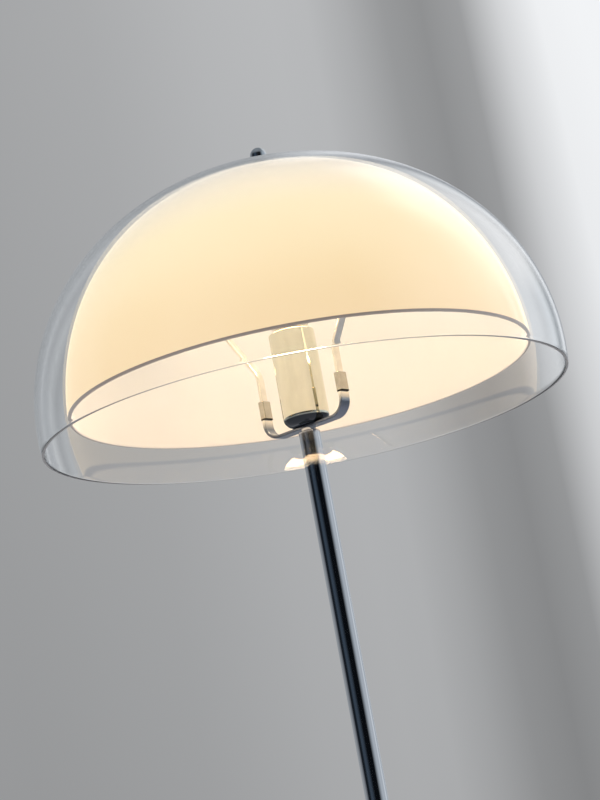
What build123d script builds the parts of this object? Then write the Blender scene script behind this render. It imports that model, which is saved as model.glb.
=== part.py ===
from build123d import *
import math
import os

# Mushroom floor lamp: two nested domes on a strip harp, a chromed stem and a weighted foot.
# Millimetres, +Z up. The origin is the centre of the foot's underside, on the stem's axis.
# The harp lies in the XZ plane. The cord bush points along +Y.

# ---- driving dimensions: foot ----
foot_radius = 150.0
pad_thickness = 2.0
pad_outer_radius = 132.0
pad_inner_radius = 92.0
cover_wall = 1.2
cover_hem_height = 1.5
cover_edge_height = 17.0
cover_corner_radius = 8.0
cover_height = 34.0
cover_flat_radius = 28.0
weight_side_gap = 10.0
weight_edge_height = 16.0
weight_roof_gap = 2.5
weight_recess_radius = 21.0
weight_recess_depth = 13.0
cord_channel_width = 10.0
cord_bush_height = 9.5
cord_bush_radius = 6.0
cord_bush_bore = 3.6
cord_bush_flange_radius = 7.2
cord_bush_flange_thickness = 1.6
cord_bush_reach = 7.0
base_stud_recess = 2.0
base_stud_slack = 4.0
washer_radius = 17.0
washer_thickness = 2.0
foot_collar_radius = 19.0
foot_collar_height = 13.0
foot_collar_lip = 2.6
foot_collar_neck_wall = 1.4
foot_collar_sweep = 2.0
foot_collar_waist = 5.85

# ---- driving dimensions: stem ----
stem_radius = 10.0
stem_wall = 1.5
stem_lower_length = 602.0
stem_upper_length = 600.5
coupler_length = 70.0
coupler_bore_radius = 5.5
plug_depth = 24.0
plug_flange_thickness = 1.5
plug_flange_rounding = 1.2
head_boss_radius = 7.0
head_boss_height = 2.5

# ---- driving dimensions: threaded tube and nuts (M10 x 1) ----
thread_radius = 5.0
thread_bore_radius = 3.4
nut_across_flats = 14.0
nut_height = 5.0
nut_chamfer = 0.6
nipple_in_plug = 18.0
nipple_in_cap = 7.0

# ---- driving dimensions: saddle and ferrules ----
leg_offset = 48.0
strip_thickness = 3.0
strip_edge_rounding = 0.75
saddle_width = 12.0
saddle_corner_radius = 15.0
saddle_arm_height = 21.0
tang_height = 9.0
leg_width = 8.0
lap_height = 6.0
ferrule_width = 11.5
ferrule_depth = 6.4
ferrule_length = 18.0
ferrule_rounding = 1.6
ferrule_chamfer = 0.4

# ---- driving dimensions: lamp holder and its cup ----
cup_radius = 21.5
cup_wall = 1.0
cup_height = 89.0
cup_corner_radius = 9.0
cup_lip_thickness = 1.8
cup_lip_height = 3.0
cup_lip_rounding = 0.8
holder_radius = 19.0
holder_length = 54.0
holder_wall = 2.6
holder_cap_height = 24.0
holder_neck_radius = 8.0
holder_neck_height = 9.0
holder_roof_thickness = 3.0
holder_shoulder_drop = 3.0
holder_shoulder_rise = 2.0
sleeve_lip_height = 2.0
sleeve_step_wall = 1.3
sleeve_step_below = 6.0
sleeve_step_length = 8.0
sleeve_neck_height = 2.0
sleeve_neck_setback = 0.2
insert_radius = 14.9
insert_thickness = 6.0
insert_leg_wall = 2.6
shell_radius = 14.2
shell_wall = 0.5
shell_length = 25.0
shell_top_gap = 1.0
shell_floor_ring = 3.0
contact_width = 6.0
contact_thickness = 0.6
contact_length = 18.0
terminal_screw_radius = 1.6
terminal_screw_length = 5.0
terminal_slot_width = 0.8
terminal_slot_depth = 1.2
terminal_head_radius = 2.8
terminal_head_height = 1.8
terminal_offset = 9.5

# ---- driving dimensions: bulb ----
bulb_cap_radius = 13.2
bulb_cap_wall = 0.4
bulb_cap_length = 22.0
bulb_cap_floor_ring = 7.7
bulb_tip_radius = 7.5
bulb_tip_height = 4.0
bulb_button_radius = 2.6
bulb_button_flare = 3.4
bulb_button_height = 0.8
bulb_tip_edge = 0.6
bulb_collar_height = 6.6
bulb_collar_land = 2.4
bulb_collar_hollow = 1.0
bulb_spigot_length = 8.0
bulb_wall = 1.4
bulb_radius = 32.5
bulb_rise = 36.0
bulb_drop = 31.0
bulb_crown_flat = 3.0
bulb_board_thickness = 1.6

# ---- driving dimensions: harp ----
harp_leg_height = 34.0
harp_lean = 34.0
harp_bend_radius = 22.0
harp_top_flat = 12.0
harp_height = 208.4
stud_radius = 3.2
stud_flange_radius = 11.0
stud_flange_thickness = 2.0
stud_thread_length = 24.0
stud_rivet_radius = 5.0
stud_rivet_height = 1.6
stud_rivet_rounding = 1.1
stud_flange_chamfer = 0.4
stud_thread_chamfer = 0.5

# ---- driving dimensions: shades and finial ----
seat_washer_thickness = 1.0
crown_flat_radius = 13.0
crown_hole_radius = 3.7
opal_radius = 214.7
opal_rise = 198.2
opal_drop = 1.0
opal_wall = 3.5
opal_shoulder_radius = 36.0
opal_shoulder_angle = 78.0
spacer_radius = 10.0
spacer_thickness = 2.2
side_gap = 26.3
rim_step = 30.0
clear_drop = 22.0
clear_wall = 3.0
rim_rounding = 0.45
finial_washer_thickness = 1.0
finial_radius = 8.0
finial_height = 30.5
finial_foot_radius = 9.5
finial_foot_height = 3.0
finial_waist_radius = 6.0
finial_waist_height = 11.0
finial_waist_share = 0.42
finial_bore_depth = 17.0

# ---- clearances ----
press_clearance = 0.05
thread_clearance = 0.1
slide_clearance = 0.25
rest_clearance = 0.25
cut_margin = 1.0


def crown_slope(radius, rise):
    """How far from level the opal dome's ellipse is at the shoulder, in radians."""
    run = (radius - opal_shoulder_radius) * math.tan(math.radians(opal_shoulder_angle))
    return math.atan(rise / run)


def crown_arc_radius(radius, rise):
    """Radius of the flatter arc that goes on from the opal dome's shoulder to its flat crown."""
    reach = (radius - opal_shoulder_radius) * math.cos(math.radians(opal_shoulder_angle))
    return (opal_shoulder_radius + reach - crown_flat_radius) / math.sin(crown_slope(radius, rise))


def crown_rise(radius, rise):
    """Height of the opal dome's flat crown over its equator."""
    shoulder = rise * math.sin(math.radians(opal_shoulder_angle))
    return shoulder + crown_arc_radius(radius, rise) * (1 - math.cos(crown_slope(radius, rise)))


# ---- levels worked out from the stack, foot to finial ----
cover_underside = cover_height - cover_wall
stem_foot = cover_height
stem_joint = stem_foot + stem_lower_length
stem_top = stem_joint + stem_upper_length
head_seat = stem_top + plug_flange_thickness + head_boss_height
saddle_top = head_seat + strip_thickness
cup_floor = saddle_top + cup_wall
cup_top = saddle_top + cup_height
holder_top = cup_top - cup_wall
holder_bottom = holder_top - holder_length
tang_foot = head_seat + saddle_arm_height
tang_top = tang_foot + tang_height
leg_foot = tang_top - lap_height + rest_clearance
harp_crown = leg_foot + harp_height
stud_seat = harp_crown + strip_thickness / 2
seat_washer_foot = stud_seat + stud_flange_thickness
opal_height = crown_rise(opal_radius, opal_rise)
opal_crown_wall = opal_height - crown_rise(opal_radius - opal_wall, opal_rise - opal_wall)
opal_crown = seat_washer_foot + seat_washer_thickness + rest_clearance + opal_crown_wall
opal_rim = opal_crown - opal_height - opal_drop
clear_crown = opal_crown + spacer_thickness + rest_clearance + clear_wall
clear_rim = opal_rim - rim_step
clear_rise = clear_crown - clear_rim - clear_drop
clear_radius = opal_radius + side_gap + clear_wall
finial_washer_foot = clear_crown
finial_foot = finial_washer_foot + finial_washer_thickness + rest_clearance
contact_foot = holder_top - shell_length - rest_clearance
bulb_tip_foot = contact_foot + contact_thickness + rest_clearance
bulb_foot = bulb_tip_foot + bulb_tip_height + bulb_cap_length
bulb_seam = bulb_foot + bulb_collar_height + bulb_collar_land


def disc(radius, height, foot, bore=0.0):
    """A round plate or ring that stands on the level foot."""
    profile = Pos((radius + bore) / 2, foot + height / 2) * Rectangle(radius - bore, height)
    return spin(profile)


def spin(profile):
    """Turn a half profile, drawn as radius and height, round the stem's axis."""
    return revolve(Plane.XZ * profile, Axis.Z)


def outline(*edges):
    """Close a chain of edges into a half profile."""
    return make_face(Wire(list(edges)))


def tube(radius, wall, foot, length):
    return disc(radius, length, foot, radius - wall)


def hexagon_nut(foot, bore):
    """A hexagon nut with its corners turned off at both faces."""
    corner_radius = nut_across_flats / math.sqrt(3)
    blank = extrude(Pos(0, 0, foot) * RegularPolygon(corner_radius, 6), nut_height)
    turned = disc(corner_radius, nut_height, foot)
    turned = chamfer(turned.edges().filter_by(GeomType.CIRCLE), nut_chamfer)
    hole = Pos(0, 0, foot + nut_height / 2) * Cylinder(bore, nut_height)
    return (blank & turned) - hole


# ---- foot ----
def make_base_pad():
    return disc(pad_outer_radius, pad_thickness, 0.0, pad_inner_radius)


def cover_profile(inset):
    """The cover's skin as radius and height, moved inward by inset."""
    radius = foot_radius - inset
    corner = cover_corner_radius - inset
    top = cover_height - inset
    shoulder = cover_edge_height + corner
    edge = Line((radius, cover_hem_height), (radius, cover_edge_height))
    turn = CenterArc((radius - corner, cover_edge_height), corner, 0, 90)
    slope = TangentArc((radius - corner, shoulder), (cover_flat_radius, top), tangent=(-1, 0.02))
    flat = Line((cover_flat_radius, top), (0, top))
    return edge, turn, slope, flat, top, radius


def cover_solid(inset):
    edge, turn, slope, flat, top, radius = cover_profile(inset)
    axis = Line((0, top), (0, cover_hem_height))
    hem = Line((0, cover_hem_height), (radius, cover_hem_height))
    return spin(outline(edge, turn, slope, flat, axis, hem))


def make_base_cover():
    cover = cover_solid(0.0) - cover_solid(cover_wall)
    hole = Pos(0, 0, cover_height) * Cylinder(thread_radius + thread_clearance, 4 * cover_wall)
    bush_hole = Pos(0, foot_radius, cord_bush_height) * Rot(90, 0, 0)
    bush_hole = bush_hole * Cylinder(cord_bush_radius + press_clearance, 6 * cover_wall)
    return cover - hole - bush_hole


def make_base_weight():
    radius = foot_radius - cover_wall - weight_side_gap
    roof = cover_underside - weight_roof_gap
    profile = Polyline(
        (0, pad_thickness), (radius, pad_thickness), (radius, weight_edge_height),
        (cover_flat_radius, roof), (cover_flat_radius - weight_roof_gap, cover_underside),
        (0, cover_underside), (0, pad_thickness),
    )
    weight = spin(make_face(profile))
    bore = Pos(0, 0, cover_height / 2) * Cylinder(thread_radius + thread_clearance, cover_height)
    recess = disc(weight_recess_radius, weight_recess_depth, pad_thickness)
    channel_top = cord_bush_height + cord_channel_width / 2
    channel = Box(cord_channel_width, foot_radius, channel_top - pad_thickness,
                  align=(Align.CENTER, Align.MIN, Align.MIN))
    return weight - bore - recess - Pos(0, 0, pad_thickness) * channel


def make_base_washer():
    foot = pad_thickness + weight_recess_depth - washer_thickness
    return disc(washer_radius, washer_thickness, foot, thread_radius + thread_clearance)


def make_base_nut():
    foot = pad_thickness + weight_recess_depth - washer_thickness - nut_height
    return hexagon_nut(foot, thread_radius + press_clearance)


def make_base_stud():
    foot = pad_thickness + base_stud_recess
    top = stem_foot + plug_depth - base_stud_slack
    return tube(thread_radius, thread_radius - thread_bore_radius, foot, top - foot)


def make_cord_bush():
    """A flanged bush through the cover's edge, its bore open to the weight's channel."""
    outer_face = foot_radius + cord_bush_flange_thickness
    inner_face = foot_radius - cord_bush_reach
    body = Cylinder(cord_bush_radius, foot_radius - inner_face, align=(Align.CENTER, Align.CENTER, Align.MIN))
    flange = Cylinder(cord_bush_flange_radius, cord_bush_flange_thickness,
                      align=(Align.CENTER, Align.CENTER, Align.MIN))
    flange = fillet(flange.faces().sort_by(Axis.Z)[-1].edges(), cord_bush_flange_thickness / 2)
    bush = body + Pos(0, 0, foot_radius - inner_face) * flange
    bush = bush - Cylinder(cord_bush_bore, 4 * (outer_face - inner_face))
    return Pos(0, inner_face, cord_bush_height) * Rot(-90, 0, 0) * bush


def make_foot_collar():
    """The spun rosette that hides the foot of the stem."""
    bore = stem_radius + press_clearance
    top = cover_height + foot_collar_height
    lip = cover_height + foot_collar_lip
    neck = bore + foot_collar_neck_wall
    waist = cover_height + foot_collar_waist
    profile = outline(
        Line((bore, cover_height), (foot_collar_radius, cover_height)),
        Line((foot_collar_radius, cover_height), (foot_collar_radius, lip)),
        ThreePointArc((foot_collar_radius, lip), (neck + foot_collar_sweep, waist), (neck, top)),
        Line((neck, top), (bore, top)),
        Line((bore, top), (bore, cover_height)),
    )
    return spin(profile)


# ---- stem ----
def plug(seat, direction):
    """A turned plug in the end of the tube: direction is +1 at the head and -1 at the foot."""
    radius = stem_radius - stem_wall - press_clearance
    middle = seat - direction * plug_depth / 2
    return disc(radius, plug_depth, middle - plug_depth / 2, thread_radius + press_clearance)


def make_foot_plug():
    return plug(stem_foot, -1)


def make_stem_lower():
    return tube(stem_radius, stem_wall, stem_foot, stem_lower_length)


def make_stem_upper():
    return tube(stem_radius, stem_wall, stem_joint, stem_upper_length)


def make_stem_coupler():
    radius = stem_radius - stem_wall - press_clearance
    return disc(radius, coupler_length, stem_joint - coupler_length / 2, coupler_bore_radius)


def make_head_plug():
    """The plug that closes the stem's head, with a rounded shoulder and a small boss."""
    bore = thread_radius + press_clearance
    shoulder = disc(stem_radius, plug_flange_thickness, stem_top, bore)
    rim = shoulder.faces().sort_by(Axis.Z)[-1].edges().sort_by(SortBy.RADIUS)[-1]
    shoulder = fillet(rim, plug_flange_rounding)
    boss = disc(head_boss_radius, head_boss_height, stem_top + plug_flange_thickness, bore)
    return plug(stem_top, 1) + shoulder + boss


def make_head_nipple():
    foot = stem_top - nipple_in_plug
    top = holder_bottom + nipple_in_cap
    return tube(thread_radius, thread_radius - thread_bore_radius, foot, top - foot)


# ---- saddle, harp and ferrules ----
def strip(path, width, thickness):
    """A flat strip that follows a path in the XZ plane, its width along Y."""
    start = Plane(origin=path @ 0, x_dir=(0, 1, 0), z_dir=path % 0)
    return sweep(start * RectangleRounded(width, thickness, strip_edge_rounding), path=path)


def make_saddle():
    level = head_seat + strip_thickness / 2
    path = FilletPolyline(
        (-leg_offset, 0, tang_foot), (-leg_offset, 0, level),
        (leg_offset, 0, level), (leg_offset, 0, tang_foot),
        radius=saddle_corner_radius,
    )
    saddle = strip(path, saddle_width, strip_thickness)
    for side in (-1, 1):
        tang = Pos(side * leg_offset, 0, tang_foot) * Box(
            strip_thickness, leg_width, tang_height, align=(Align.CENTER, Align.CENTER, Align.MIN))
        lap = lap_cut(side, tang_top - lap_height, lap_height)
        saddle = saddle + (tang - lap)
    hole = Pos(0, 0, level) * Cylinder(thread_radius + thread_clearance, 2 * strip_thickness)
    return saddle - hole


def lap_cut(side, foot, height):
    """The inner half of a leg, taken away where the harp laps the saddle."""
    half = strip_thickness / 2
    inner = Box(half, leg_width + cut_margin, height + cut_margin,
                align=(Align.CENTER, Align.CENTER, Align.MIN))
    return Pos(side * (leg_offset - half / 2), 0, foot) * inner


def harp_path(side):
    """One half of the harp: leg, outward bend, straight lean, and the arc over to the top flat."""
    lean = math.radians(harp_lean)
    bend_foot = leg_foot + harp_leg_height
    bend_x = leg_offset + harp_bend_radius * (1 - math.cos(lean))
    bend_top = bend_foot + harp_bend_radius * math.sin(lean)
    climb = (1 + math.sin(lean)) / math.cos(lean)
    lean_length = harp_crown - bend_top - (bend_x - harp_top_flat) * climb
    lean_length = lean_length / (math.cos(lean) + math.sin(lean) * climb)
    lean_x = bend_x + lean_length * math.sin(lean)
    lean_top = bend_top + lean_length * math.cos(lean)
    arc_radius = (lean_x - harp_top_flat) / math.cos(lean)
    arc_level = lean_top + arc_radius * math.sin(lean)
    reach = arc_radius * math.cos(math.radians(45))
    leg = Line((side * leg_offset, 0, leg_foot), (side * leg_offset, 0, bend_foot))
    bend = TangentArc((side * leg_offset, 0, bend_foot), (side * bend_x, 0, bend_top), tangent=(0, 0, 1))
    run = Line((side * bend_x, 0, bend_top), (side * lean_x, 0, lean_top))
    arc = ThreePointArc(
        (side * lean_x, 0, lean_top),
        (side * (harp_top_flat + reach), 0, arc_level + reach),
        (side * harp_top_flat, 0, harp_crown),
    )
    return [leg, bend, run, arc]


def make_harp_bow():
    top = Line((harp_top_flat, 0, harp_crown), (-harp_top_flat, 0, harp_crown))
    path = Wire(harp_path(1) + [top] + harp_path(-1))
    bow = strip(path, leg_width, strip_thickness)
    pad = Pos(0, 0, harp_crown - strip_thickness / 2) * Cylinder(
        stud_flange_radius, strip_thickness, align=(Align.CENTER, Align.CENTER, Align.MIN))
    hole = Pos(0, 0, harp_crown) * Cylinder(stud_radius + press_clearance, 2 * strip_thickness)
    bow = bow + pad - hole
    half = strip_thickness / 2 + slide_clearance / 2
    for side in (-1, 1):
        outer = Box(half, leg_width + cut_margin, lap_height + cut_margin,
                    align=(Align.CENTER, Align.CENTER, Align.MIN))
        lap_x = side * (leg_offset - slide_clearance / 2 + half / 2)
        bow = bow - Pos(lap_x, 0, leg_foot - cut_margin) * outer
    return bow


def make_ferrule(side):
    """A flattened sleeve that slides down over the lap and stands on the saddle's shoulder."""
    plate = RectangleRounded(ferrule_depth, ferrule_width, ferrule_rounding)
    bore = Rectangle(strip_thickness + 2 * slide_clearance, leg_width + 2 * slide_clearance)
    sleeve = extrude(plate - bore, ferrule_length)
    rims = sleeve.faces().filter_by(Axis.Z)
    edges = [edge for face in rims for edge in face.outer_wire().edges()]
    sleeve = chamfer(edges, ferrule_chamfer)
    return Pos(side * leg_offset, 0, tang_foot + rest_clearance) * sleeve


def make_harp_stud():
    """Flange, threaded stud above it, and the rivet head under the bow."""
    flange = disc(stud_flange_radius, stud_flange_thickness, stud_seat)
    flange = chamfer(flange.edges().filter_by(GeomType.CIRCLE).sort_by(Axis.Z)[-1], stud_flange_chamfer)
    under = stud_seat - strip_thickness
    shank = disc(stud_radius, strip_thickness, under)
    rivet = disc(stud_rivet_radius, stud_rivet_height, under - stud_rivet_height)
    rivet = fillet(rivet.edges().filter_by(GeomType.CIRCLE).sort_by(Axis.Z)[0], stud_rivet_rounding)
    thread = disc(stud_radius, stud_thread_length, seat_washer_foot)
    thread = chamfer(thread.edges().filter_by(GeomType.CIRCLE).sort_by(Axis.Z)[-1], stud_thread_chamfer)
    return flange + shank + rivet + thread


# ---- cup and lamp holder ----
def cup_profile(inset, top):
    radius = cup_radius - inset
    corner = cup_corner_radius - inset
    floor = saddle_top + inset
    return outline(
        Line((0, floor), (radius - corner, floor)),
        CenterArc((radius - corner, floor + corner), corner, 270, 90),
        Line((radius, floor + corner), (radius, top)),
        Line((radius, top), (0, top)),
        Line((0, top), (0, floor)),
    )


def make_holder_cup():
    """A deep drawn cup with a rounded floor and a rolled lip."""
    shell = spin(cup_profile(0.0, cup_top)) - spin(cup_profile(cup_wall, cup_top + cut_margin))
    lip = disc(cup_radius, cup_lip_height, cup_top - cup_lip_height, cup_radius - cup_lip_thickness)
    lip = fillet(lip.edges().filter_by(GeomType.CIRCLE).sort_by(Axis.Z)[-2:], cup_lip_rounding)
    body = spin(cup_profile(0.0, cup_top - cup_lip_height / 2)) & shell
    hole = Pos(0, 0, saddle_top) * Cylinder(thread_radius + thread_clearance, 6 * cup_wall)
    return body + lip - hole


def make_cup_nut():
    return hexagon_nut(cup_floor, thread_radius + press_clearance)


def make_holder_cap():
    """The moulded lower cap: a neck for the threaded tube under an open cup."""
    neck_top = holder_bottom + holder_neck_height
    cap_top = holder_bottom + holder_cap_height
    roof = neck_top + holder_roof_thickness
    outer = Polyline(
        (0, holder_bottom), (holder_neck_radius, holder_bottom),
        (holder_neck_radius, neck_top - holder_shoulder_drop),
        (holder_radius, neck_top + holder_shoulder_rise),
        (holder_radius, cap_top), (holder_radius - holder_wall, cap_top),
        (holder_radius - holder_wall, roof), (0, roof), (0, holder_bottom),
    )
    bore = Pos(0, 0, holder_bottom) * Cylinder(thread_radius + press_clearance, 2 * holder_neck_height)
    wireway = Pos(0, 0, roof) * Cylinder(thread_bore_radius, 4 * holder_roof_thickness)
    return spin(make_face(outer)) - bore - wireway


def make_holder_insert():
    """The ceramic insert that carries the threaded shell and the terminals."""
    foot = contact_foot - insert_thickness
    cap_roof = holder_bottom + holder_neck_height + holder_roof_thickness
    block = disc(insert_radius, insert_thickness, foot)
    leg = disc(insert_radius, foot - cap_roof, cap_roof, insert_radius - insert_leg_wall)
    block = block + leg
    for side in (-1, 1):
        hole = Pos(side * terminal_offset, 0, foot) * Cylinder(
            terminal_screw_radius + press_clearance, 2 * terminal_screw_length)
        block = block - hole
    return block


def make_holder_screws():
    """Two terminal screws, heads under the insert."""
    foot = contact_foot - insert_thickness
    screws = []
    for side in (-1, 1):
        head = disc(terminal_head_radius, terminal_head_height, foot - terminal_head_height)
        slot = Pos(0, 0, foot - terminal_head_height) * Box(
            2 * terminal_head_radius, terminal_slot_width, terminal_slot_depth)
        shank = disc(terminal_screw_radius, terminal_screw_length, foot)
        screws.append(Pos(side * terminal_offset, 0, 0) * (head - slot + shank))
    return Compound(children=screws)


def make_holder_shell():
    """The threaded sleeve that takes the bulb, with a floor that has a window for the contact."""
    foot = holder_top - shell_length
    wall = tube(shell_radius, shell_wall, foot, shell_length - shell_top_gap)
    floor = disc(shell_radius, shell_wall, foot - rest_clearance, shell_radius - shell_floor_ring)
    skirt = tube(shell_radius, shell_wall, foot - rest_clearance, rest_clearance + shell_wall)
    return wall + floor + skirt


def make_holder_contact():
    """The sprung centre contact, lying on the insert under the bulb's tip."""
    return Pos(0, 0, contact_foot) * Box(contact_length, contact_width, contact_thickness,
                                 align=(Align.CENTER, Align.CENTER, Align.MIN))


def make_holder_sleeve():
    """The outer sleeve, screwed onto the cap, with an inward lip over the shell."""
    foot = holder_bottom + holder_cap_height
    wall = tube(holder_radius, holder_wall, foot, holder_top - foot)
    lip = disc(holder_radius, sleeve_lip_height, holder_top - sleeve_lip_height,
               shell_radius + press_clearance)
    step_radius = holder_radius - holder_wall - press_clearance
    step = tube(step_radius, sleeve_step_wall, foot - sleeve_step_below, sleeve_step_length)
    neck = disc(holder_radius - sleeve_neck_setback, sleeve_neck_height, foot, step_radius - sleeve_step_wall)
    return wall + lip + step + neck


# ---- bulb ----
def make_bulb_tip():
    """The black glass insulator with its contact button."""
    foot = bulb_tip_foot
    top = foot + bulb_tip_height
    return spin(make_face(Polyline(
        (0, foot), (bulb_button_radius, foot), (bulb_button_flare, foot + bulb_button_height),
        (bulb_tip_radius, top - bulb_tip_edge),
        (bulb_tip_radius, top), (0, top), (0, foot),
    )))


def make_bulb_cap():
    foot = bulb_tip_foot + bulb_tip_height
    wall = tube(bulb_cap_radius, bulb_cap_wall, foot, bulb_cap_length)
    floor = disc(bulb_cap_radius, bulb_cap_wall, foot, bulb_cap_radius - bulb_cap_floor_ring)
    return wall + floor


def bulb_seam_radius():
    """The globe's radius where it meets the collar."""
    return bulb_crown_flat + (bulb_radius - bulb_crown_flat) * math.sqrt(1 - (bulb_drop / bulb_rise) ** 2)


def make_bulb_body():
    """The short collar between cap and globe, with a spigot in the cap and a land for the board."""
    neck = bulb_cap_radius - bulb_cap_wall - press_clearance
    spigot = disc(neck, bulb_spigot_length, bulb_foot - bulb_spigot_length, neck - bulb_wall)
    seam = bulb_seam_radius()
    land = bulb_foot + bulb_collar_height
    middle = bulb_foot + bulb_collar_height / 2
    half_way = (bulb_cap_radius + seam) / 2 - bulb_collar_hollow
    flare = outline(
        ThreePointArc((bulb_cap_radius, bulb_foot), (half_way, middle), (seam, land)),
        Line((seam, land), (seam, bulb_seam)),
        Line((seam, bulb_seam), (seam - bulb_wall, bulb_seam)),
        Line((seam - bulb_wall, bulb_seam), (seam - bulb_wall, land)),
        ThreePointArc((seam - bulb_wall, land), (half_way - bulb_wall, middle),
                      (neck - bulb_wall, bulb_foot)),
        Line((neck - bulb_wall, bulb_foot), (bulb_cap_radius, bulb_foot)),
    )
    return spin(flare) + spigot


def make_bulb_board():
    radius = bulb_seam_radius() - bulb_wall - rest_clearance
    return disc(radius, bulb_board_thickness, bulb_seam - bulb_board_thickness)


def make_bulb_diffuser():
    return dome_wall(bulb_radius, bulb_rise, bulb_drop, bulb_wall, bulb_crown_flat, bulb_seam)


# ---- shades and finial ----
def dome_wall(radius, rise, drop, wall, flat, rim):
    """A dome of even wall: an ellipse that is widest at drop above the rim and rises from there
    to a flat crown, so the wall turns in a little again towards its rim."""
    equator = rim + drop
    crown = equator + rise
    outer_turn = math.degrees(math.asin(drop / rise))
    inner_turn = math.degrees(math.asin(drop / (rise - wall)))
    outer = EllipticalCenterArc((flat, equator), radius - flat, rise,
                                start_angle=-outer_turn, arc_size=90 + outer_turn)
    inner = EllipticalCenterArc((flat, equator), radius - wall - flat, rise - wall,
                                start_angle=-inner_turn, arc_size=90 + inner_turn)
    return spin(outline(
        outer,
        Line((flat, crown), (0, crown)),
        Line((0, crown), (0, crown - wall)),
        Line((0, crown - wall), (flat, crown - wall)),
        inner,
        Line(inner @ 0, outer @ 0),
    ))


def opal_line(inset):
    """One face of the opal dome in section, from the rim over the shoulder to the flat crown."""
    radius = opal_radius - inset
    rise = opal_rise - inset
    equator = opal_rim + opal_drop
    turn = math.degrees(math.asin(opal_drop / rise))
    side = EllipticalCenterArc((opal_shoulder_radius, equator), radius - opal_shoulder_radius, rise,
                               start_angle=-turn, arc_size=opal_shoulder_angle + turn)
    arc_radius = crown_arc_radius(radius, rise)
    slope = math.degrees(crown_slope(radius, rise))
    centre = equator + crown_rise(radius, rise) - arc_radius
    top = CenterArc((crown_flat_radius, centre), arc_radius, 90 - slope, slope)
    return side, top


def opal_wall_ring():
    outer_side, outer_top = opal_line(0)
    inner_side, inner_top = opal_line(opal_wall)
    roof = opal_crown - opal_crown_wall
    return spin(outline(
        outer_side,
        outer_top,
        Line((crown_flat_radius, opal_crown), (0, opal_crown)),
        Line((0, opal_crown), (0, roof)),
        Line((0, roof), (crown_flat_radius, roof)),
        inner_top,
        inner_side,
        Line(inner_side @ 0, outer_side @ 0),
    ))


def shade(dome, crown, wall):
    """A blown dome gets a polished round edge and the stud's hole through its crown."""
    rounded = fillet(dome.edges().group_by(Axis.Z)[0], wall * rim_rounding)
    hole = Pos(0, 0, crown) * Cylinder(crown_hole_radius, 4 * wall)
    return rounded - hole


def make_shade_seat():
    return disc(stud_flange_radius, seat_washer_thickness, seat_washer_foot, stud_radius + thread_clearance)


def make_shade_opal():
    return shade(opal_wall_ring(), opal_crown, opal_wall)


def make_shade_spacer():
    return disc(spacer_radius, spacer_thickness, opal_crown, crown_hole_radius)


def make_shade_clear():
    dome = dome_wall(clear_radius, clear_rise, clear_drop, clear_wall, crown_flat_radius, clear_rim)
    return shade(dome, clear_crown, clear_wall)


def make_finial_washer():
    return disc(spacer_radius, finial_washer_thickness, finial_washer_foot, crown_hole_radius)


def make_finial():
    """A turned knob: flanged foot, waist and a round-ended head, tapped from below."""
    foot = finial_foot
    top = foot + finial_height
    head = top - finial_radius
    foot_top = foot + finial_foot_height
    waist_top = foot_top + finial_waist_height
    profile = outline(
        Line((0, foot), (finial_foot_radius, foot)),
        Line((finial_foot_radius, foot), (finial_foot_radius, foot_top)),
        ThreePointArc((finial_foot_radius, foot_top),
                      (finial_waist_radius, foot_top + finial_waist_height * finial_waist_share),
                      (finial_radius, waist_top)),
        Line((finial_radius, waist_top), (finial_radius, head)),
        CenterArc((0, head), finial_radius, 0, 90),
        Line((0, top), (0, foot)),
    )
    bore = Pos(0, 0, foot) * Cylinder(stud_radius + slide_clearance, 2 * finial_bore_depth)
    return spin(profile) - bore


pieces = {
    "base_pad": make_base_pad(),
    "base_weight": make_base_weight(),
    "base_cover": make_base_cover(),
    "base_washer": make_base_washer(),
    "base_nut": make_base_nut(),
    "base_stud": make_base_stud(),
    "cord_bush": make_cord_bush(),
    "foot_collar": make_foot_collar(),
    "foot_plug": make_foot_plug(),
    "stem_lower": make_stem_lower(),
    "stem_coupler": make_stem_coupler(),
    "stem_upper": make_stem_upper(),
    "head_plug": make_head_plug(),
    "head_nipple": make_head_nipple(),
    "saddle": make_saddle(),
    "holder_cup": make_holder_cup(),
    "cup_nut": make_cup_nut(),
    "holder_cap": make_holder_cap(),
    "holder_insert": make_holder_insert(),
    "holder_screws": make_holder_screws(),
    "holder_shell": make_holder_shell(),
    "holder_contact": make_holder_contact(),
    "holder_sleeve": make_holder_sleeve(),
    "bulb_tip": make_bulb_tip(),
    "bulb_cap": make_bulb_cap(),
    "bulb_body": make_bulb_body(),
    "bulb_board": make_bulb_board(),
    "bulb_diffuser": make_bulb_diffuser(),
    "harp_bow": make_harp_bow(),
    "harp_stud": make_harp_stud(),
    "ferrule_left": make_ferrule(-1),
    "ferrule_right": make_ferrule(1),
    "shade_seat": make_shade_seat(),
    "shade_opal": make_shade_opal(),
    "shade_spacer": make_shade_spacer(),
    "shade_clear": make_shade_clear(),
    "finial_washer": make_finial_washer(),
    "finial": make_finial(),
}

os.makedirs("parts", exist_ok=True)
for name, piece in pieces.items():
    export_step(piece, f"parts/{name}.step")
print("rim of the clear dome", round(clear_rim, 2), "top", round(finial_foot + finial_height, 2))
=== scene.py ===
import math

import bmesh
import bpy
from mathutils import Matrix, Vector

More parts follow.
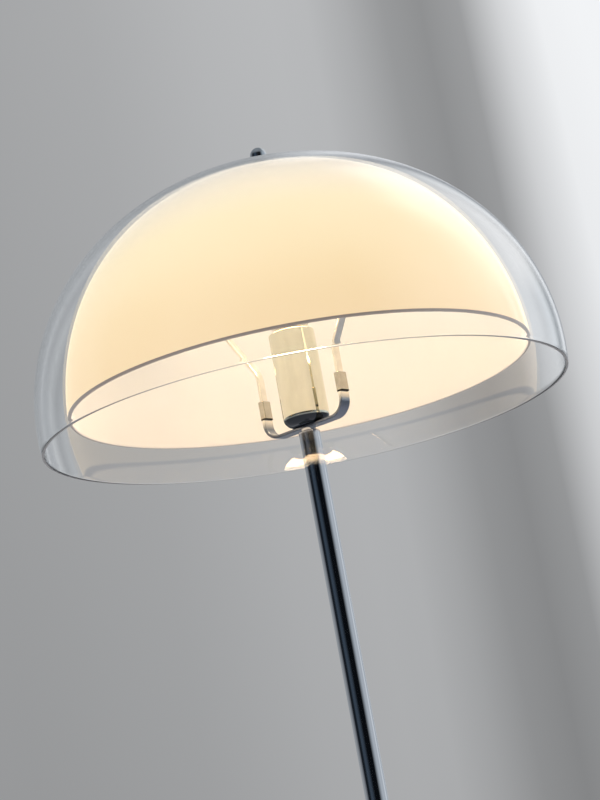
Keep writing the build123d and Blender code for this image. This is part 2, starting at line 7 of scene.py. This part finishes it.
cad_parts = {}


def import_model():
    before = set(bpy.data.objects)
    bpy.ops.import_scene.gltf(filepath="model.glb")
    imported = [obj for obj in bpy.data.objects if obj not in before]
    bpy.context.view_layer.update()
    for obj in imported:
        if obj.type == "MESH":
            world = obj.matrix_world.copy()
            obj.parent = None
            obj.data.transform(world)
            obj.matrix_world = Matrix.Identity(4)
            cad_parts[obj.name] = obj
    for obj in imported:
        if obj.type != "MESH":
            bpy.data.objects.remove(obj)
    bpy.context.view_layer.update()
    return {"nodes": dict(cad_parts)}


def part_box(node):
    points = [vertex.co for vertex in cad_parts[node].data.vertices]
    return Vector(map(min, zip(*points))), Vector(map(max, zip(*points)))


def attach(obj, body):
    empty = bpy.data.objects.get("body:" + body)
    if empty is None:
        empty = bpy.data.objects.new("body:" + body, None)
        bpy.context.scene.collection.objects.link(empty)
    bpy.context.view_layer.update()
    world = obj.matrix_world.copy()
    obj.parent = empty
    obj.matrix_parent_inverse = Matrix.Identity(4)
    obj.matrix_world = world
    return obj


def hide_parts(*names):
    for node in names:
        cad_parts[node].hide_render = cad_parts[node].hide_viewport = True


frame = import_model()
nodes = frame["nodes"]
bpy.context.scene.view_settings.view_transform = "Standard"

# Sizes of the two blown domes, as the frame has them, in metres. A wall is widest at its equator, `drop`
# above the rim; its ellipse rises from there about a centre `shoulder` from the axis. Below 90 degrees, the
# dome goes over at `bend` into a flatter arc. `edge_from` is the first step round the rim that counts as its
# cut edge.
CROWN_FLAT = 0.013
HOLE = 0.0037
OPAL = dict(radius=0.2147, rise=0.1982, drop=0.001, wall=0.0035, rim=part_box("shade_opal")[0].z,
            crown=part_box("shade_opal")[1].z, shoulder=0.036, bend=78.0, edge_from=0)
CLEAR = dict(radius=0.244, drop=0.0255, wall=0.003, rim=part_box("shade_clear")[0].z,
             crown=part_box("shade_clear")[1].z, shoulder=CROWN_FLAT, bend=90.0, edge_from=4)
CLEAR["rise"] = CLEAR["crown"] - CLEAR["rim"] - CLEAR["drop"]

# How finely the domes are cut.
DOME_SECTORS = 288
ARC_STEPS = 24
WALL_STEPS = 110
FLAT_STEPS = 6
RIM_STEPS = 16
RIM_STEPS_OUTSIDE = 11

# A dome's edges: the break at the finial's hole, the rim's round as a share of the wall, how square it is, and
# how far over the round the wall's faces end.
HOLE_BREAK = 0.0003
RIM_ROUND = 0.46
RIM_SQUARENESS = 0.8
OUTER_END, OUTER_FOOT, INNER_END = 0.0008, 0.0003, 0.0004

# Where the photograph shows the dark mirrored underside of the plated pieces to end, over each piece's foot; below
# it that dark is painted into the colour, as painted reflection on the cup and harp and painted shade at the
# ferrules.
PAINTED_REFLECTION_BAND_CUP = 0.0062
PAINTED_REFLECTION_BAND_HARP = 0.012
PAINTED_SHADE_BAND_FERRULE = 0.0012

# The photograph's viewpoint: the near arm of the lamp carrier points to the right of the camera.
TURN = math.radians(40.0)
LOOK = Vector((-math.sin(TURN), math.cos(TURN), 0.0))
SIDE = Vector((math.cos(TURN), math.sin(TURN), 0.0))

# The camera: its reach and drop from the clear rim's centre in clear-dome radii, its aim in radians, and its
# focal length in pixels of a picture 800 high.
CAMERA_REACH, CAMERA_DROP = 6.0, 1.31474
CAMERA_YAW, CAMERA_PITCH, CAMERA_ROLL = -0.00206, 0.22796, -0.18194
FOCAL_PIXELS, PICTURE_PIXELS, SENSOR = 1634.12, 800.0, 36.0

# Soft lamps: name, azimuth, elevation, distance from the lamp's head, width, power and colour. Azimuth 0 is at
# the camera, 90 to its right, 180 behind the lamp.
HEAD = Vector((0.0, 0.0, 1.36))
SOFTBOXES = (
    ("window", 122, 42, 2.6, 1.4, 38.0, (1.0, 0.90, 1.0)),
    ("fill", -70, 45, 3.2, 2.2, 29.0, (1.0, 0.98, 0.95)),
)
AMBIENT = (0.42, 0.43, 0.45)
FLOOR_RADIUS = 14.0

# What metal mirrors, by azimuth: dark behind the camera, bright at the window, folds of light behind the lamp.
DARK, BACK = (0.004, 0.005, 0.007), (0.42, 0.44, 0.46)
MIRRORED = (
    (-180, BACK), (-120, (0.36, 0.38, 0.40)), (-92, (0.16, 0.17, 0.19)), (-84, (0.012, 0.016, 0.022)),
    (-64, (0.012, 0.016, 0.022)), (-50, (0.055, 0.078, 0.108)), (-34, (0.05, 0.07, 0.098)), (-10, DARK),
    (33, DARK), (56, (0.40, 0.44, 0.48)), (72, (0.60, 0.65, 0.70)), (94, (0.58, 0.62, 0.67)),
    (118, (0.85, 0.90, 0.95)), (130, (0.40, 0.43, 0.47)), (139, (0.78, 0.84, 0.90)), (147, (0.26, 0.29, 0.32)),
    (156, (0.90, 0.94, 0.98)), (165, (0.34, 0.36, 0.39)), (173, (0.85, 0.88, 0.92)), (180, BACK),
)
MIRRORED_OVERHEAD, MIRRORED_BELOW, MIRRORED_PANE = (0.30, 0.32, 0.34), (0.03, 0.035, 0.045), (1.0, 1.0, 1.0)

# How bright the backdrop is, by the angle to the right of the line from the camera through the lamp: a painted
# soft shadow band just right of the lamp, then painted light further right.
BACKDROP = (
    (-150.0, 0.42), (-30.0, 0.36), (-11.0, 0.37), (-5.3, 0.41), (-1.0, 0.475), (2.5, 0.50), (4.2, 0.42),
    (6.0, 0.30), (6.9, 0.28), (8.3, 0.33), (9.2, 0.40), (10.3, 0.84), (12.0, 0.92), (22.0, 0.92), (45.0, 0.48),
    (150.0, 0.42),
)
BACKDROP_TINT = (0.985, 1.0, 1.02)


# ---------------------------------------------------------------- node material helpers

class Tree:
    """Adds nodes to a node tree and links whatever is passed as a socket."""

    def __init__(self, tree):
        self.tree = tree
        tree.nodes.clear()

    def add(self, kind, props=None, **sockets):
        """A node; a socket goes by its name with underscores, or by its number as i0, i1 and so on."""
        n = self.tree.nodes.new(kind)
        for k, v in (props or {}).items():
            setattr(n, k, v)
        for k, v in sockets.items():
            self.put(n.inputs[int(k[1:]) if k[0] == "i" and k[1:].isdigit() else k.replace("_", " ")], v)
        return n

    def put(self, socket, value):
        if isinstance(value, bpy.types.NodeSocket):
            self.tree.links.new(value, socket)
        elif isinstance(value, bpy.types.Node):
            self.tree.links.new(value.outputs[0], socket)
        else:
            socket.default_value = value

    def math(self, op, a, b=0.0, clamp=False):
        return self.add("ShaderNodeMath", dict(operation=op, use_clamp=clamp), i0=a, i1=b).outputs[0]

    def range(self, value, lo, hi, out_lo=0.0, out_hi=1.0, smooth=False):
        kind = "SMOOTHSTEP" if smooth else "LINEAR"
        return self.add("ShaderNodeMapRange", dict(interpolation_type=kind), i0=value, i1=lo, i2=hi,
                        i3=out_lo, i4=out_hi).outputs[0]

    def window(self, value, rises, falls):
        """1 between two soft edges, each given from 0 to 1, and 0 outside them."""
        return self.math("MULTIPLY", self.range(value, *rises, smooth=True), self.range(value, *falls, smooth=True))

    def ramp(self, value, stops):
        r = self.add("ShaderNodeValToRGB", i0=value)
        e = r.color_ramp.elements
        while len(e) < len(stops):
            e.new(1.0)
        for item, (place, colour) in zip(e, stops):
            item.position = place
            item.color = (*colour, 1.0)
        return r.outputs[0]

    def mix(self, factor, a, b):
        m = self.add("ShaderNodeMix", dict(data_type="RGBA"))
        self.put(m.inputs[0], factor)
        for socket, value in ((m.inputs[6], a), (m.inputs[7], b)):
            self.put(socket, (*value, 1.0) if isinstance(value, tuple) else value)
        return m.outputs[2]

    def place(self, stretch=None):
        """The object's own coordinates in metres, stretched for a grain if asked."""
        c = self.add("ShaderNodeTexCoord").outputs["Object"]
        if stretch is None:
            return c
        return self.add("ShaderNodeMapping", Vector=c, Scale=stretch).outputs[0]

    def height(self, where):
        return self.add("ShaderNodeSeparateXYZ", Vector=where).outputs[2]

    def mark(self, name):
        """A value that the mesh carries at its points."""
        return self.add("ShaderNodeAttribute", dict(attribute_name=name)).outputs["Fac"]

    def noise(self, scale, detail=4.0, rough=0.55, where=None):
        return self.add("ShaderNodeTexNoise", Vector=where or self.place(), Scale=scale, Detail=detail,
                        Roughness=rough).outputs[0]

    def drift(self, scale, low, high, detail=4.0, rough=0.55, lo=0.3, hi=0.7):
        """A value between low and high that wanders with a noise."""
        return self.range(self.noise(scale, detail, rough), lo, hi, low, high)

    def bump(self, height, depth):
        return self.add("ShaderNodeBump", Distance=depth, Height=height).outputs[0]

    def principled(self, **sockets):
        return self.add("ShaderNodeBsdfPrincipled", **sockets)

    def out(self, shader):
        self.add("ShaderNodeOutputMaterial", Surface=shader)


def material(name):
    m = bpy.data.materials.new(name)
    m.use_nodes = True
    return m, Tree(m.node_tree)


def finish_name(m):
    """A material's name without the number that Blender adds to a second one."""
    return m.name.split(".")[0]


# ---------------------------------------------------------------- finishes

def chrome(name, low, high, rough=(0.03, 0.09), grain=(1.0, 1.0, 1.0), haze=60.0, painted_dark_below=None,
           dark=(0.055, 0.06, 0.068), fade=0.0008):
    """Mirror plating: faint polishing grain, a little haze and fine dust, and below a height a painted dark
    reflection and shade.
    """
    m, t = material(name)
    where = t.place(grain)
    haze_map = t.noise(haze, detail=5.0, rough=0.6, where=where)
    dust = t.range(t.noise(scale=2600.0, detail=2.0, rough=0.5), 0.70, 0.78)
    colour = t.mix(t.range(haze_map, 0.35, 0.65), low, high)
    if painted_dark_below is not None:
        # Painted dark reflection and shade: below the given height the colour fades to `dark`.
        colour = t.mix(t.range(t.height(t.place()), painted_dark_below, painted_dark_below + fade), dark, colour)
    roughness = t.math("ADD", t.range(haze_map, 0.3, 0.7, *rough), t.math("MULTIPLY", dust, 0.12))
    grain_map = t.noise(haze * 6.0, detail=3.0, rough=0.5, where=where)
    t.out(t.principled(Base_Color=colour, Metallic=1.0, Roughness=roughness, Normal=t.bump(grain_map, 0.00001)))
    return m


def rough_metal(name, low, high, metallic, rough, scale, depth):
    """Plated, cast or turned metal with a mottled tone and a fine relief."""
    m, t = material(name)
    colour = t.mix(t.drift(scale, 0.0, 1.0, detail=6.0, rough=0.65), low, high)
    relief = t.noise(scale * 5.0, detail=5.0, rough=0.6)
    t.out(t.principled(Base_Color=colour, Metallic=metallic, Roughness=t.drift(scale * 3.0, *rough),
                       Normal=t.bump(relief, depth)))
    return m


def plastic(name, low, high, rough, scale=120.0, depth=0.00003):
    """Moulded plastic, rubber or ceramic: a slight tone drift, speckle and skin texture."""
    m, t = material(name)
    clouds = t.math("MULTIPLY", t.noise(scale * 0.25, detail=3.0), 0.6)
    speck = t.math("MULTIPLY", t.noise(scale * 12.0, detail=2.0, rough=0.5), 0.4)
    colour = t.mix(t.range(t.math("ADD", clouds, speck), 0.38, 0.62), low, high)
    skin = t.noise(scale * 8.0, detail=4.0, rough=0.6)
    t.out(t.principled(Base_Color=colour, Roughness=t.drift(scale * 2.0, *rough), Normal=t.bump(skin, depth)))
    return m


def opal_acrylic(name):
    """Lit opal acrylic: a painted glow, from creamy white at the crown to peach at the rim, stands in for the
    bulb's light through it, and the cut edge gets painted shade.
    """
    m, t = material(name)
    # Painted glow by height: the emission is brighter at the crown than at the rim, standing in for how the bulb's
    # light falls.
    up = t.range(t.height(t.place()), OPAL["rim"], OPAL["crown"])
    cloud = t.math("SUBTRACT", t.noise(scale=7.0, detail=3.0, rough=0.5), 0.5)
    level = t.math("ADD", up, t.math("MULTIPLY", cloud, 0.10), clamp=True)
    painted_glow_outside = t.ramp(level, [(0.0, (0.84, 0.60, 0.31)), (0.25, (0.87, 0.645, 0.335)),
                             (0.55, (0.885, 0.715, 0.40)), (0.85, (0.90, 0.765, 0.575)),
                             (1.0, (0.92, 0.82, 0.65))])
    # The inner face gets a weaker painted glow, since the bulb mesh lights it as well.
    inside = t.ramp(level, [(0.0, (0.38, 0.30, 0.235)), (0.3, (0.33, 0.285, 0.235)), (1.0, (0.28, 0.24, 0.205))])
    # Painted shade at the cut edge, where the light has to cross the wall: a dim glow and a darker base colour.
    edge = t.mark("edge")
    glow = t.mix(edge, t.mix(t.mark("inner"), painted_glow_outside, inside), (0.15, 0.12, 0.10))
    body = t.mix(t.noise(scale=30.0), (0.48, 0.47, 0.45), (0.51, 0.50, 0.48))
    body = t.mix(edge, body, (0.28, 0.255, 0.235))
    skin = t.noise(scale=9.0, detail=2.0, rough=0.4)
    roughness = t.drift(140.0, 0.06, 0.14, detail=3.0, lo=0.35)
    t.out(t.principled(Base_Color=body, Roughness=roughness, IOR=1.49, Emission_Color=glow,
                       Emission_Strength=1.0, Normal=t.bump(skin, 0.0004)))
    return m


def clear_acrylic(name):
    """Clear polished acrylic that lets the lamps through, with faint wipe marks and a greyer cut edge."""
    m, t = material(name)
    smear = t.noise(scale=22.0, detail=5.0, rough=0.6, where=t.place((1.0, 1.0, 0.35)))
    tint = t.mix(t.noise(scale=6.0, detail=2.0), (0.985, 0.992, 0.995), (0.995, 0.998, 1.0))
    glass = t.principled(Base_Color=tint, Roughness=t.range(smear, 0.55, 0.75, 0.0, 0.02), IOR=1.49,
                         Transmission_Weight=1.0, Normal=t.bump(t.noise(scale=5.0, detail=1.0), 0.0002))
    grey = t.mix(t.noise(scale=300.0), (0.60, 0.58, 0.56), (0.68, 0.66, 0.64))
    cut = t.principled(Base_Color=grey, Roughness=0.35)
    solid = t.add("ShaderNodeMixShader", i0=t.math("MULTIPLY", t.mark("edge"), 0.6), i1=glass, i2=cut)
    shadow = t.add("ShaderNodeLightPath").outputs["Is Shadow Ray"]
    pale_shadow = t.add("ShaderNodeBsdfTransparent", Color=(0.96, 0.97, 0.975, 1.0))
    t.out(t.add("ShaderNodeMixShader", i0=shadow, i1=solid, i2=pale_shadow))
    return m


def lit_bulb(name):
    """The bulb's frosted dome, switched on."""
    m, t = material(name)
    lo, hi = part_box("bulb_diffuser")
    up = t.range(t.height(t.place()), lo.z, hi.z)
    glow = t.ramp(t.math("ADD", up, t.math("MULTIPLY", t.noise(scale=60.0), 0.1)),
                  [(0.0, (1.0, 0.62, 0.30)), (0.35, (1.0, 0.78, 0.50)), (1.0, (1.0, 0.84, 0.60))])
    t.out(t.principled(Base_Color=t.mix(t.noise(scale=90.0), (0.80, 0.78, 0.74), (0.86, 0.84, 0.80)),
                       Roughness=t.drift(200.0, 0.35, 0.5), Emission_Color=glow, Emission_Strength=30.0))
    return m


FINISHES = {finish_name(m): m for m in (
    plastic("pad_rubber", (0.022, 0.022, 0.022), (0.035, 0.034, 0.033), rough=(0.75, 0.95), scale=160.0,
            depth=0.0001),
    rough_metal("weight_iron", (0.035, 0.032, 0.030), (0.085, 0.075, 0.066), metallic=0.6, rough=(0.6, 0.9),
                scale=90.0, depth=0.0003),
    chrome("cover_chrome", (0.60, 0.61, 0.63), (0.68, 0.69, 0.71), rough=(0.04, 0.09), haze=25.0),
    rough_metal("zinc_steel", (0.42, 0.42, 0.40), (0.58, 0.57, 0.52), metallic=1.0, rough=(0.28, 0.45),
                scale=220.0, depth=0.00003),
    plastic("bush_black", (0.018, 0.018, 0.019), (0.03, 0.03, 0.03), rough=(0.4, 0.6)),
    chrome("stem_chrome", (0.58, 0.60, 0.63), (0.66, 0.68, 0.71), rough=(0.035, 0.08), grain=(1.0, 1.0, 0.06),
           haze=120.0),
    # Painted dark bands at the feet: painted reflection on the harp and cup, painted shade on the ferrules.
    chrome("harp_chrome", (0.84, 0.80, 0.71), (0.92, 0.88, 0.79), rough=(0.12, 0.24), haze=90.0,
           painted_dark_below=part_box("saddle")[0].z + PAINTED_REFLECTION_BAND_HARP, dark=(0.20, 0.225, 0.27), fade=0.008),
    chrome("ferrule_chrome", (0.50, 0.47, 0.40), (0.58, 0.55, 0.47), rough=(0.06, 0.12), haze=140.0,
           painted_dark_below=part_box("ferrule_left")[0].z + PAINTED_SHADE_BAND_FERRULE, dark=(0.02, 0.018, 0.015), fade=0.0004),
    chrome("cup_chrome", (0.72, 0.715, 0.605), (0.78, 0.775, 0.665), rough=(0.04, 0.10), grain=(1.0, 1.0, 0.4),
           haze=80.0, painted_dark_below=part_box("holder_cup")[0].z + PAINTED_REFLECTION_BAND_CUP),
    plastic("holder_black", (0.012, 0.011, 0.010), (0.022, 0.020, 0.018), rough=(0.2, 0.35)),
    plastic("insert_ceramic", (0.66, 0.63, 0.56), (0.78, 0.75, 0.69), rough=(0.5, 0.7), scale=150.0,
            depth=0.00006),
    rough_metal("shell_brass", (0.48, 0.36, 0.17), (0.62, 0.49, 0.26), metallic=1.0, rough=(0.22, 0.38),
                scale=160.0, depth=0.00002),
    rough_metal("cap_metal", (0.55, 0.55, 0.54), (0.66, 0.66, 0.65), metallic=1.0, rough=(0.25, 0.4),
                scale=160.0, depth=0.00002),
    plastic("tip_black", (0.01, 0.01, 0.012), (0.02, 0.02, 0.024), rough=(0.08, 0.2)),
    plastic("bulb_white", (0.72, 0.71, 0.69), (0.78, 0.77, 0.75), rough=(0.3, 0.45)),
    plastic("board_white", (0.62, 0.62, 0.58), (0.72, 0.72, 0.68), rough=(0.3, 0.5)),
    lit_bulb("bulb_opal"),
    opal_acrylic("opal_acrylic"),
    clear_acrylic("clear_acrylic"),
    plastic("washer_nylon", (0.66, 0.65, 0.62), (0.74, 0.73, 0.70), rough=(0.4, 0.55)),
    chrome("finial_dark", (0.46, 0.50, 0.54), (0.56, 0.60, 0.64), rough=(0.12, 0.2), haze=120.0),
)}

for ob in nodes.values():
    for slot in ob.material_slots:
        slot.material = FINISHES[finish_name(slot.material)]


# ---------------------------------------------------------------- shapes made in mesh code

def put_in_scene(name, data):
    ob = bpy.data.objects.new(name, data)
    bpy.context.scene.collection.objects.link(ob)
    return ob


def mesh_from(bm, name):
    mesh = bpy.data.meshes.new(name)
    bm.to_mesh(mesh)
    bm.free()
    return mesh


def lathe(name, profile, finish, body, replaced, marks):
    """Revolves a closed loop of (radius, height) about the lamp's axis, with a value of each mark per point."""
    bm = bmesh.new()
    rings = []
    for i in range(DOME_SECTORS):
        a = 2 * math.pi * i / DOME_SECTORS
        rings.append([bm.verts.new((r * math.cos(a), r * math.sin(a), z)) for r, z in profile])
    count = len(profile)
    for i, ring in enumerate(rings):
        after = rings[(i + 1) % DOME_SECTORS]
        for j in range(count):
            k = (j + 1) % count
            bm.faces.new((ring[j], after[j], after[k], ring[k]))
    bmesh.ops.recalc_face_normals(bm, faces=bm.faces)
    mesh = mesh_from(bm, name)
    for mark, values in marks.items():
        layer = mesh.attributes.new(mark, "FLOAT", "POINT")
        layer.data.foreach_set("value", values * DOME_SECTORS)
    mesh.shade_smooth()
    ob = put_in_scene(name, mesh)
    mesh.materials.append(FINISHES[finish])
    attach(ob, body)
    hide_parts(replaced)


def dome_face(size, inset, low, steps=WALL_STEPS):
    """One face of a dome in section, from the edge of its flat crown down to `low` over the rim."""
    radius, rise = size["radius"] - inset, size["rise"] - inset
    shoulder, bend = size["shoulder"], math.radians(size["bend"])
    equator = size["rim"] + size["drop"]
    points = []
    if size["bend"] < 90.0:
        slope = math.atan(rise / ((radius - shoulder) * math.tan(bend)))
        reach = shoulder + (radius - shoulder) * math.cos(bend) - CROWN_FLAT
        arc = reach / math.sin(slope)
        centre = equator + rise * math.sin(bend) - arc * math.cos(slope)
        for i in range(ARC_STEPS):
            a = slope * i / ARC_STEPS
            points.append((CROWN_FLAT + arc * math.sin(a), centre + arc * math.cos(a)))
    last = math.asin((low - size["drop"]) / rise)
    for i in range(steps + 1):
        t = bend + (last - bend) * i / steps
        points.append((shoulder + (radius - shoulder) * math.cos(t), equator + rise * math.sin(t)))
    return points


def dome_loop(size):
    """A dome's section with a polished round edge at the rim: the loop, and for each point its share of
    the inside and of the edge."""
    loop, inner, edge = [], [], []

    def point(r, z, inside, at_edge=0.0):
        loop.append((r, z))
        inner.append(inside)
        edge.append(at_edge)

    wall, rim, first = size["wall"], size["rim"], size["edge_from"]
    r_edge = wall * RIM_ROUND
    outer = dome_face(size, 0.0, r_edge + OUTER_END)
    foot = dome_face(size, 0.0, r_edge + OUTER_FOOT, steps=1)[-1]
    inside = dome_face(size, wall, r_edge + INNER_END)
    top, roof = outer[0][1], inside[0][1]
    point(HOLE, top - HOLE_BREAK, 0.0)
    point(HOLE + HOLE_BREAK, top, 0.0)
    for i in range(FLAT_STEPS):
        point(HOLE + (CROWN_FLAT - HOLE) * (i + 1) / (FLAT_STEPS + 1), top, 0.0)
    for r, z in outer:
        point(r, z, 0.0)
    point(*foot, 0.0, 0.0 if first else 1.0)
    r_out, r_in = foot[0], inside[-1][0]
    middle, half = (r_out + r_in) / 2, (r_out - r_in) / 2
    for i in range(RIM_STEPS + 1):
        a = math.pi * i / RIM_STEPS
        place = math.cos(a)
        point(middle + half * math.copysign(abs(place) ** RIM_SQUARENESS, place),
              rim + r_edge - r_edge * math.sin(a) ** RIM_SQUARENESS,
              0.0 if i < RIM_STEPS_OUTSIDE else 1.0, 1.0 if first <= i < RIM_STEPS_OUTSIDE else 0.0)
    for r, z in reversed(inside):
        point(r, z, 1.0)
    for i in range(FLAT_STEPS):
        point(CROWN_FLAT - (CROWN_FLAT - HOLE) * (i + 1) / (FLAT_STEPS + 1), roof, 1.0)
    point(HOLE + HOLE_BREAK, roof, 1.0)
    point(HOLE, roof + HOLE_BREAK, 1.0)
    return loop, {"inner": inner, "edge": edge}


for label, finish, body, replaced, size in (("opal_dome", "opal_acrylic", "opal", "shade_opal", OPAL),
                                            ("clear_dome", "clear_acrylic", "clear", "shade_clear", CLEAR)):
    loop, marks = dome_loop(size)
    lathe(label, loop, finish, body, replaced, marks)


# ---------------------------------------------------------------- stage, light and camera

def floor():
    """A plain pale floor."""
    bm = bmesh.new()
    bmesh.ops.create_circle(bm, cap_ends=True, cap_tris=False, segments=96, radius=FLOOR_RADIUS)
    mesh = mesh_from(bm, "floor")
    ob = put_in_scene("floor", mesh)
    m, t = material("floor_pale")
    tone = t.mix(t.noise(scale=1.5, detail=5.0), (0.70, 0.71, 0.72), (0.73, 0.74, 0.75))
    relief = t.noise(scale=400.0, detail=3.0)
    t.out(t.principled(Base_Color=tone, Roughness=0.75, Normal=t.bump(relief, 0.0001)))
    mesh.materials.append(m)


def softbox(name, azimuth, elevation, distance, width, power, colour):
    """A square soft lamp aimed at the lamp's head, that neither metal nor clear plastic shows."""
    a, e = math.radians(azimuth), math.radians(elevation)
    flat = (-LOOK) * math.cos(a) + SIDE * math.sin(a)
    centre = HEAD + (flat * math.cos(e) + Vector((0, 0, math.sin(e)))) * distance
    data = bpy.data.lights.new(name, "AREA")
    data.size = width
    data.energy = power
    data.color = colour
    ob = put_in_scene(name, data)
    ob.location = centre
    ob.rotation_mode = "QUATERNION"
    ob.rotation_quaternion = (HEAD - centre).to_track_quat("-Z", "Y")
    ob.visible_glossy = False
    ob.visible_transmission = False


def at(degrees):
    """An angle's place on a ramp that runs once round the lamp."""
    return degrees / 360.0 + 0.5


def world():
    """Soft even light. The camera sees a grey backdrop with a painted soft shadow band, painted light to the
    right and a painted brightening upwards, and so does what it sees through clear plastic. Metal sees a dark
    side where the room lies behind the camera and a bright side at the window."""
    w = bpy.data.worlds.new("studio")
    w.use_nodes = True
    bpy.context.scene.world = w
    t = Tree(w.node_tree)
    way = t.add("ShaderNodeTexCoord").outputs["Generated"]
    height = t.height(way)

    def along(direction):
        return t.add("ShaderNodeVectorMath", dict(operation="DOT_PRODUCT"), i0=way, i1=direction).outputs["Value"]

    def turn_from(ahead):
        angle = t.math("ARCTAN2", to_side, ahead)
        return t.math("ADD", t.math("DIVIDE", angle, 2 * math.pi), 0.5)

    to_side, to_lens = along(SIDE), along(-LOOK)
    turn = turn_from(to_lens)
    mirror = t.ramp(turn, [(at(angle), colour) for angle, colour in MIRRORED])
    mirror = t.mix(t.range(height, 0.45, 0.9, smooth=True), mirror, MIRRORED_OVERHEAD)
    wide = t.window(turn, (at(94), at(112)), (at(165), at(140)))
    tall = t.window(height, (0.28, 0.44), (0.92, 0.78))
    mirror = t.mix(t.math("MULTIPLY", wide, tall), mirror, MIRRORED_PANE)
    mirror = t.mix(t.range(height, -0.05, -0.25, smooth=True), mirror, MIRRORED_BELOW)

    wall = t.ramp(turn_from(t.math("MULTIPLY", to_lens, -1.0)),
                  [(at(angle), tuple(value * tint for tint in BACKDROP_TINT)) for angle, value in BACKDROP])
    # Painted light: the backdrop brightens upwards.
    rise = t.range(height, -0.3, 0.46, 0.74, 1.0)
    backdrop = t.add("ShaderNodeVectorMath", dict(operation="SCALE"), i0=wall, Scale=rise).outputs[0]

    path = t.add("ShaderNodeLightPath").outputs
    straight = t.math("LESS_THAN", path["Glossy Depth"], 0.5)
    through = t.math("MULTIPLY", path["Is Transmission Ray"], straight)
    seen = t.math("MAXIMUM", path["Is Camera Ray"], through)
    mirrored = t.math("MAXIMUM", path["Is Glossy Ray"], path["Is Transmission Ray"])
    colour = t.mix(t.math("MAXIMUM", seen, mirrored), AMBIENT, t.mix(seen, mirror, backdrop))
    t.add("ShaderNodeOutputWorld", Surface=t.add("ShaderNodeBackground", Color=colour, Strength=1.0))


def camera():
    """Looks up at the head from below it, level tilted, with a long lens."""
    reach, drop = CAMERA_REACH * CLEAR["radius"], CAMERA_DROP * CLEAR["radius"]
    place = -LOOK * reach + Vector((0, 0, CLEAR["rim"] - drop))
    flat = LOOK * math.cos(CAMERA_YAW) + SIDE * math.sin(CAMERA_YAW)
    forward = flat * math.cos(CAMERA_PITCH) + Vector((0, 0, math.sin(CAMERA_PITCH)))
    forward.normalize()
    right = forward.cross(Vector((0, 0, 1))).normalized()
    up = right.cross(forward)
    rolled_right = right * math.cos(CAMERA_ROLL) + up * math.sin(CAMERA_ROLL)
    rolled_up = -right * math.sin(CAMERA_ROLL) + up * math.cos(CAMERA_ROLL)
    data = bpy.data.cameras.new("camera")
    data.sensor_width = SENSOR
    data.lens = FOCAL_PIXELS * SENSOR / PICTURE_PIXELS
    data.clip_start, data.clip_end = 0.05, 100.0
    ob = put_in_scene("camera", data)
    turned = Matrix((rolled_right, rolled_up, -forward)).transposed().to_4x4()
    ob.matrix_world = Matrix.Translation(place) @ turned
    bpy.context.scene.camera = ob


floor()
for box in SOFTBOXES:
    softbox(*box)
world()
camera()

bpy.context.view_layer.update()
